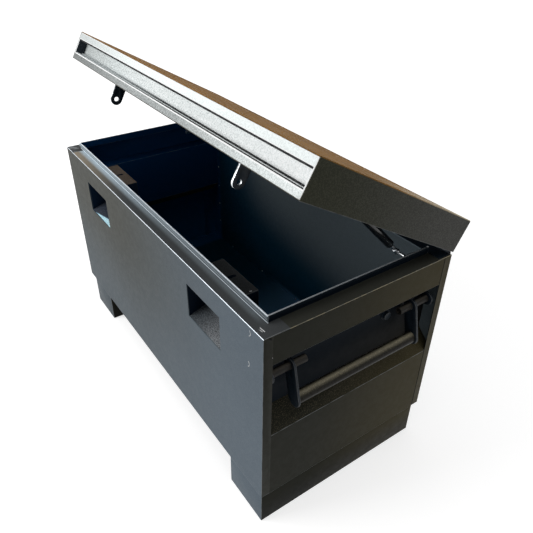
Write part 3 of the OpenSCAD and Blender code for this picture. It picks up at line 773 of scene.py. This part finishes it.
def round_edges(mesh, groups, bend_layer):
    """Bevels sharp convex edges, the widest groups first. A group is a least width and a radius."""
    sharp_angle = math.radians(35)
    for least_width, radius in groups:
        edges = []
        for edge in mesh.edges:
            if len(edge.link_faces) != 2 or not edge.is_convex:
                continue
            if edge.calc_face_angle() < sharp_angle:
                continue
            widths = [face_width(face, edge) for face in edge.link_faces]
            if min(widths) >= least_width and not any(face[bend_layer] for face in edge.link_faces):
                edges.append(edge)
        if not edges:
            continue
        made = bmesh.ops.bevel(
            mesh, geom=edges, offset=radius, offset_type="OFFSET", segments=2, profile=0.5,
            affect="EDGES", clamp_overlap=True, material=-1,
        )
        for face in made["faces"]:
            face[bend_layer] = 1.0


def placed(name, mesh, material_name, sharp_degrees):
    """Puts a bmesh into the scene as an object, smooth but for its sharp edges."""
    for face in mesh.faces:
        face.smooth = True
    data = bpy.data.meshes.new(name)
    mesh.to_mesh(data)
    mesh.free()
    data.materials.append(material(material_name))
    data.set_sharp_from_angle(angle=math.radians(sharp_degrees))
    piece = bpy.data.objects.new(name, data)
    bpy.context.scene.collection.objects.link(piece)
    return piece


def dressed_copy(node, material_name, groups, extra=None):
    """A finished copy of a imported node: merged, its edges rounded and its faces marked for the coat."""
    source = frame["nodes"][node].data
    mesh = bmesh.new()
    mesh.from_mesh(source)
    bmesh.ops.remove_doubles(mesh, verts=mesh.verts, dist=0.002 * MM)
    bmesh.ops.dissolve_limit(
        mesh, angle_limit=math.radians(0.5), verts=mesh.verts, edges=mesh.edges,
        use_dissolve_boundaries=False,
    )
    bend = mesh.faces.layers.float.new("bend")
    round_edges(mesh, groups, bend)
    if node == "front_panel" or node.endswith("end_ledge"):
        for rise in (FOOT_RISE, HEM_RISE):
            cut_across(mesh, Vector((0, 0, LEDGE_Z + rise)), Vector((0, 0, 1)))
    mesh.normal_update()
    mark_faces(mesh, node)
    if extra:
        extra(mesh)
    piece = placed(f"{node}_finished", mesh, material_name, 32)
    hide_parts(node)
    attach(piece, BODY_OF[node])
    return piece


def new_piece(name, mesh, material_name, body):
    """Makes an object of a bmesh and rides it on a body."""
    bmesh.ops.recalc_face_normals(mesh, faces=mesh.faces)
    piece = placed(name, mesh, material_name, 40)
    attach(piece, body)
    return piece


def sheet_groups():
    """Bevel groups of folded sheet: folds and hems. Cut edges stay sharp."""
    sheet = bpy.context.scene.site_box_sheet
    return [(6 * MM, sheet.bend), (3 * MM, sheet.hem)]


def plate_groups():
    """Bevel groups of thick plate and bar."""
    sheet = bpy.context.scene.site_box_sheet
    return [(2.5 * MM, sheet.plate)]


class SITEBOX_OT_body_sheets(bpy.types.Operator):
    """Finish the folded sheets of the body"""

    bl_idname = "site_box.body_sheets"
    bl_label = "Body sheets"

    def execute(self, context):
        groups = sheet_groups()
        dressed_copy("front_panel", "box coat", groups)
        dressed_copy("back_panel", "box coat", groups)
        dressed_copy("base_panel", "box coat", groups)
        for side in ("left", "right"):
            dressed_copy(f"{side}_end_panel", "box coat", groups)
            dressed_copy(f"{side}_end_ledge", "box coat", groups)
        return {"FINISHED"}


class SITEBOX_OT_runners(bpy.types.Operator):
    """Finish the two runners"""

    bl_idname = "site_box.runners"
    bl_label = "Runners"

    def execute(self, context):
        for side in ("left", "right"):
            dressed_copy(f"{side}_runner", "box coat", sheet_groups())
        return {"FINISHED"}


def mark_pocket(mesh):
    """Marks a lock pocket's sill, seen through its opening, and the top of its housing."""
    sill = mesh.faces.layers.float.new("sill")
    crown = mesh.faces.layers.float.new("crown")
    top = max(vertex.co.z for vertex in mesh.verts)
    for face in mesh.faces:
        if face.normal.z > 0.7:
            face[crown if face.calc_center_median().z > top - 4 * MM else sill] = 1.0


class SITEBOX_OT_lock_pockets(bpy.types.Operator):
    """Finish the lock pocket housings"""

    bl_idname = "site_box.lock_pockets"
    bl_label = "Lock pockets"

    def execute(self, context):
        for side in ("left", "right"):
            dressed_copy(f"{side}_lock_pocket", f"{side} pocket coat", sheet_groups(), mark_pocket)
        return {"FINISHED"}


class SITEBOX_OT_lid_shell(bpy.types.Operator):
    """Finish the lid's top, ends, back and ribs"""

    bl_idname = "site_box.lid_shell"
    bl_label = "Lid shell"

    def execute(self, context):
        groups = sheet_groups()
        dressed_copy("lid_top", "lid top coat", groups)
        dressed_copy("lid_back", "box coat", groups)
        for side in ("left", "right"):
            dressed_copy(f"{side}_lid_end", "box coat", groups)
            dressed_copy(f"{side}_lid_rib", "dark plate", groups)
        return {"FINISHED"}


def mark_bands(mesh):
    """Marks the groove and the band below it, and the plates that close the groove."""
    for height in (BAND_TOP_V, LID_TOP_V - LIP_DEPTH):
        cut_across(mesh, LID_PLACE @ Vector((0, 0, height)), LID_PLACE.to_3x3() @ Vector((0, 0, 1)))
    names = ("end_plate", "band", "groove", "hem")
    plate, band, groove, hem = (mesh.faces.layers.float.new(name) for name in names)
    bend = mesh.faces.layers.float["bend"]
    foot = min((TO_LID @ vertex.co).z for vertex in mesh.verts)
    for face in mesh.faces:
        spot = TO_LID @ face.calc_center_median()
        face[plate] = 1.0 if abs(face.normal.x) > 0.7 else 0.0
        if spot.z < BAND_TOP_V:
            face[band] = 1.0
            face[hem] = 1.0 if face[bend] and spot.z < foot + 2 * MM else 0.0
        elif -spot.y < LID_FRONT_U - 4 * MM and spot.z < LID_TOP_V - LIP_DEPTH + 2 * MM:
            face[groove] = 1.0


def groove_floor_height():
    """Height of the lip in front of the groove's floor, above the hinge axis."""
    channel = [TO_LID @ vertex.co for vertex in frame["nodes"]["lid_front_channel"].data.vertices]
    return min(p.z for p in channel if -p.y > LID_FRONT_U - 1 * MM and abs(p.x) < HALF_LENGTH - 6 * MM)


def lid_bar(name, x, u, v, material_name):
    """A dark bar on the lid, between lengths along it, distances from the hinge, and heights."""
    mesh = bmesh.new()
    bmesh.ops.create_cube(mesh, size=1.0)
    size = Matrix.Diagonal((x[1] - x[0], u[1] - u[0], v[1] - v[0], 1.0))
    place = Matrix.Translation(((x[0] + x[1]) / 2, -(u[0] + u[1]) / 2, (v[0] + v[1]) / 2))
    bmesh.ops.transform(mesh, matrix=LID_PLACE @ place @ size, verts=mesh.verts)
    edges = [edge for edge in mesh.edges if edge.calc_length() > 0.1]
    bmesh.ops.bevel(
        mesh, geom=edges, offset=0.3 * MM, offset_type="OFFSET", segments=2, profile=0.5,
        affect="EDGES", clamp_overlap=True, material=-1,
    )
    return new_piece(name, mesh, material_name, "lid")


class SITEBOX_OT_lid_front(bpy.types.Operator):
    """Finish the lid's grooved front"""

    bl_idname = "site_box.lid_front"
    bl_label = "Lid front"

    def execute(self, context):
        dressed_copy("lid_front_channel", "hammered silver", sheet_groups(), mark_bands)
        reach = HALF_LENGTH - 7.5 * MM
        front, top, low = LID_FRONT_U, LID_TOP_V, groove_floor_height()
        # thin dark bars painted as shadow under the top band and along the groove's floor
        bars = (
            ("groove_lip_shadow", (5.0, 0.6), (top - 27 * MM, top - 23 * MM), "fold seal"),
            ("groove_floor_front_shadow", (9.0, 3.0), (low + 0.5 * MM, low + 2.2 * MM), "groove seam"),
            ("groove_floor_back_shadow", (28.0, 21.0), (low + 2.2 * MM, low + 6.2 * MM), "groove seam"),
        )
        for name, (far, near), heights, coat in bars:
            lid_bar(name, (-reach, reach), (front - far * MM, front - near * MM), heights, coat)
        return {"FINISHED"}


class SITEBOX_OT_hinge(bpy.types.Operator):
    """Finish the full-length hinge"""

    bl_idname = "site_box.hinge"
    bl_label = "Hinge"

    def execute(self, context):
        for node in ("hinge_lower_leaf", "hinge_upper_leaf"):
            dressed_copy(node, "dark plate", [])
        dressed_copy("hinge_pin", "worn steel", [])
        return {"FINISHED"}


def mark_plate_edge(mesh):
    """Marks only the narrow faces round an upright plate, for the painted highlight along its edges."""
    bend = mesh.faces.layers.float["bend"]
    for face in mesh.faces:
        face[bend] = 1.0 if abs(face.normal.x) < 0.3 else 0.0


class SITEBOX_OT_hasps(bpy.types.Operator):
    """Finish the hasp plates"""

    bl_idname = "site_box.hasps"
    bl_label = "Hasps"

    def execute(self, context):
        for side in ("left", "right"):
            dressed_copy(f"{side}_hasp", "hasp plate", plate_groups(), mark_plate_edge)
        return {"FINISHED"}


class SITEBOX_OT_gas_struts(bpy.types.Operator):
    """Finish the gas struts and their brackets"""

    bl_idname = "site_box.gas_struts"
    bl_label = "Gas struts"

    def execute(self, context):
        for side in ("left", "right"):
            dressed_copy(f"{side}_strut_cylinder", "strut enamel", [(2 * MM, 0.7 * MM)])
            dressed_copy(f"{side}_strut_rod", "zinc", [])
            for part in ("head_socket", "foot_socket"):
                dressed_copy(f"{side}_strut_{part}", "zinc", [])
            for part in ("lower_bracket", "upper_bracket"):
                dressed_copy(f"{side}_strut_{part}", "zinc", plate_groups())
        return {"FINISHED"}


def mark_crest(mesh):
    """Marks the upper outer side of a round bar, for a painted highlight."""
    crest = mesh.faces.layers.float.new("crest")
    side = 1 if sum(vertex.co.x for vertex in mesh.verts) > 0 else -1
    toward = Vector((0.25 * side, 0, 0.97))
    for face in mesh.faces:
        face[crest] = max(0.0, (face.normal.dot(toward) - 0.3) / 0.7) ** 9


class SITEBOX_OT_drop_handles(bpy.types.Operator):
    """Finish the drop handles, their lugs and pins"""

    bl_idname = "site_box.drop_handles"
    bl_label = "Drop handles"

    def execute(self, context):
        for side in ("left", "right"):
            for arm in ("front", "rear"):
                dressed_copy(f"{side}_handle_{arm}_arm", "dark plate", plate_groups())
            dressed_copy(f"{side}_handle_grip", "polished grip", [], mark_crest)
            dressed_copy(f"{side}_handle_pivot_tubes", "worn steel", [], mark_crest)
            dressed_copy(f"{side}_handle_lugs", "dark plate", plate_groups())
            dressed_copy(f"{side}_handle_pins", "worn steel", plate_groups())
        dressed_copy("recess_bolt", "dark plate", plate_groups())
        return {"FINISHED"}


# hooked runs of weld on the front: name, X and Z of the start, and the path as steps aside and down
WELD_HOOKS = (("front_weld_upper", 0.559, 0.6276), ("front_weld_lower", 0.554, 0.536))
HOOK_PATH = ((0.0, 0.0), (0.0034, 0.0055), (0.002, 0.0118), (-0.0018, 0.0155))

# beads at the front right corner: name, start and end as X, distance behind the front and depth
# below the ledge, width and finish
CORNER_BEADS = (
    ("corner_weld", (0.575, 0.016, 0.0005), (0.589, 0.017, 0.0005), 4 * MM, "weld metal"),
    ("corner_weld_low", (0.58, 0.012, 0.0005), (0.587, 0.0125, 0.0005), 3 * MM, "weld metal"),
    ("corner_notch", (HALF_LENGTH, 0.0165, 0.006), (HALF_LENGTH, 0.0205, 0.008), 5 * MM, "fold seal"),
    ("fold_weld", (HALF_LENGTH, 0.0235, 0.06), (HALF_LENGTH, 0.0238, 0.062), 2 * MM, "weld metal"),
)


def weld_bead(name, path, width, material_name="weld metal"):
    """A run of weld ripples along a few points, sunk half into what they lie on."""
    mesh = bmesh.new()
    for start, end in zip(path, path[1:]):
        start, end = Vector(start), Vector(end)
        steps = max(2, round((end - start).length / (0.45 * width)))
        for step in range(steps + 1):
            place = Matrix.Translation(start.lerp(end, step / steps))
            swell = 0.9 + 0.1 * math.cos(2.4 * step)
            bmesh.ops.create_icosphere(
                mesh, subdivisions=2, radius=width / 2 * swell,
                matrix=place @ Matrix.Diagonal((1.0, 0.62, 0.8, 1.0)),
            )
    return new_piece(name, mesh, material_name, "root")


class SITEBOX_OT_welds(bpy.types.Operator):
    """Finish the weld dots inside and lay the beads along the front right corner"""

    bl_idname = "site_box.welds"
    bl_label = "Welds"

    def execute(self, context):
        dressed_copy("seam_weld_dots", "weld metal", [])
        for name, x, z in WELD_HOOKS:
            hook = [(x + aside, FRONT_Y, z - down) for aside, down in HOOK_PATH]
            weld_bead(name, hook, 2.2 * MM)
        for name, start, end, width, coat in CORNER_BEADS:
            path = [(x, FRONT_Y + behind, LEDGE_Z - down) for x, behind, down in (start, end)]
            weld_bead(name, path, width, coat)
        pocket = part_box("right_lock_pocket")[1]
        weld_bead("housing_weld", [(pocket[0] - 0.007, FRONT_Y + 0.088, pocket[2]),
                                   (pocket[0] - 0.006, FRONT_Y + 0.092, pocket[2])], 4 * MM)
        (inner, _, _), (_, rear, top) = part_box("right_end_ledge")
        weld_bead("rim_weld", [(inner + 0.001, rear - 0.006, top),
                               (inner + 0.003, rear - 0.006, top)], 4 * MM)
        return {"FINISHED"}


# the stage

# the camera as solved from the photo: place in metres and angles in degrees
CAMERA_PLACE = (1.298389, MIDDLE_Y - 0.769838, 1.387683)
CAMERA_ANGLES = (55.91, -0.73, 55.25)
STAGE_MIDDLE = (0, MIDDLE_Y, 0.4)
FLOOR_REACH = 30.0
FLOOR_PLACE = -0.5 * MM


def area_lamp(name, place, size, power):
    """A square lamp that faces the middle of the stage."""
    data = bpy.data.lights.new(name, "AREA")
    data.shape = "SQUARE"
    data.size = size
    data.energy = power
    lamp = bpy.data.objects.new(name, data)
    lamp.location = place
    lamp.rotation_euler = (Vector(STAGE_MIDDLE) - Vector(place)).to_track_quat("-Z", "Y").to_euler()
    bpy.context.scene.collection.objects.link(lamp)


def rays(tree, *kinds):
    """One for light paths of the given kinds and nothing for all others."""
    path = tree.nodes.new("ShaderNodeLightPath")
    socket = path.outputs[kinds[0]]
    for kind in kinds[1:]:
        most = tree.nodes.new("ShaderNodeMath")
        most.operation = "MAXIMUM"
        tree.links.new(socket, most.inputs[0])
        tree.links.new(path.outputs[kind], most.inputs[1])
        socket = most.outputs["Value"]
    return socket


def stage_world(ambient):
    """Plain surroundings: dim on the object, white to the camera and in gloss."""
    world = bpy.data.worlds.new("surroundings")
    world.use_nodes = True
    tree = world.node_tree
    background = tree.nodes["Background"]
    background.inputs["Color"].default_value = (1, 1, 1, 1)
    strength = tree.nodes.new("ShaderNodeMapRange")
    strength.inputs["To Min"].default_value = ambient
    strength.inputs["To Max"].default_value = 1.0
    clear = rays(tree, "Is Camera Ray", "Is Glossy Ray", "Is Transmission Ray")
    tree.links.new(clear, strength.inputs["Value"])
    tree.links.new(strength.outputs["Result"], background.inputs["Strength"])
    bpy.context.scene.world = world


def stage_floor(colour):
    """A pale floor that keeps the shadow and reads white where it is clear."""
    mesh = bmesh.new()
    bmesh.ops.create_grid(mesh, x_segments=1, y_segments=1, size=FLOOR_REACH)
    data = bpy.data.meshes.new("studio_floor")
    mesh.to_mesh(data)
    mesh.free()
    recipe = Recipe("studio floor")
    recipe.constants(Roughness=0.9, Specular_IOR_Level=0.0)
    recipe.shader.inputs["Base Color"].default_value = (*colour, 1)
    glow = recipe.nodes.new("ShaderNodeEmission")
    glow.inputs["Color"].default_value = (1, 1, 1, 1)
    away = recipe.nodes.new("ShaderNodeVectorMath")
    away.operation = "LENGTH"
    recipe.link(recipe.place, away.inputs[0])
    seen = rays(recipe.material.node_tree, "Is Camera Ray", "Is Glossy Ray")
    strength = recipe.both(seen, recipe.ramp(away.outputs["Value"], 0.8, 2.6, 0.66, 0.9))
    recipe.link(strength, glow.inputs["Strength"])
    sum_of_both = recipe.nodes.new("ShaderNodeAddShader")
    recipe.link(recipe.shader.outputs["BSDF"], sum_of_both.inputs[0])
    recipe.link(glow.outputs["Emission"], sum_of_both.inputs[1])
    recipe.link(sum_of_both.outputs["Shader"], recipe.nodes["Material Output"].inputs["Surface"])
    data.materials.append(recipe.material)
    floor = bpy.data.objects.new("studio_floor", data)
    floor.location.z = FLOOR_PLACE
    bpy.context.scene.collection.objects.link(floor)


class SITEBOX_OT_stage(bpy.types.Operator):
    """Set the camera, the lamps and the floor"""

    bl_idname = "site_box.stage"
    bl_label = "Stage"

    def execute(self, context):
        stage = context.scene.site_box_stage
        data = bpy.data.cameras.new("photo_camera")
        data.sensor_width = 36
        data.lens = stage.lens
        camera = bpy.data.objects.new("photo_camera", data)
        camera.location = CAMERA_PLACE
        camera.rotation_euler = Euler([math.radians(angle) for angle in CAMERA_ANGLES], "XYZ")
        context.scene.collection.objects.link(camera)
        context.scene.camera = camera
        area_lamp("key_lamp", (-1.6, -3.6, 2.4), 2.6, stage.key)
        area_lamp("top_lamp", (0.2, 0.2, 3.8), 3.0, stage.top)
        area_lamp("side_lamp", (3.8, 0.8, 1.6), 2.4, stage.side)
        stage_world(stage.ambient)
        stage_floor(stage.floor)
        context.scene.view_settings.view_transform = "Standard"
        return {"FINISHED"}


OPERATORS = (
    SITEBOX_OT_stage,
    SITEBOX_OT_body_sheets,
    SITEBOX_OT_runners,
    SITEBOX_OT_lock_pockets,
    SITEBOX_OT_lid_shell,
    SITEBOX_OT_lid_front,
    SITEBOX_OT_hinge,
    SITEBOX_OT_hasps,
    SITEBOX_OT_gas_struts,
    SITEBOX_OT_drop_handles,
    SITEBOX_OT_welds,
)


class SITEBOX_PT_sidebar(bpy.types.Panel):
    """Lists the steps in the sidebar"""

    bl_idname = "SITEBOX_PT_sidebar"
    bl_label = "Site Box"
    bl_space_type = "VIEW_3D"
    bl_region_type = "UI"
    bl_category = "Site Box"

    def draw(self, context):
        for operator in OPERATORS:
            self.layout.operator(operator.bl_idname)
        for group in settings():
            for key in group.bl_rna.properties.keys():
                if key not in ("rna_type", "name"):
                    self.layout.prop(group, key)


CLASSES = (SheetSettings, FinishSettings, StageSettings, *OPERATORS, SITEBOX_PT_sidebar)


def register():
    for cls in CLASSES:
        bpy.utils.register_class(cls)
    bpy.types.Scene.site_box_sheet = PointerProperty(type=SheetSettings)
    bpy.types.Scene.site_box_finish = PointerProperty(type=FinishSettings)
    bpy.types.Scene.site_box_stage = PointerProperty(type=StageSettings)


def unregister():
    del bpy.types.Scene.site_box_stage
    del bpy.types.Scene.site_box_finish
    del bpy.types.Scene.site_box_sheet
    for cls in reversed(CLASSES):
        bpy.utils.unregister_class(cls)


def main():
    register()
    for operator in OPERATORS:
        module, name = operator.bl_idname.split(".")
        getattr(getattr(bpy.ops, module), name)()
    bpy.context.view_layer.update()


if __name__ == "__main__":
    main()
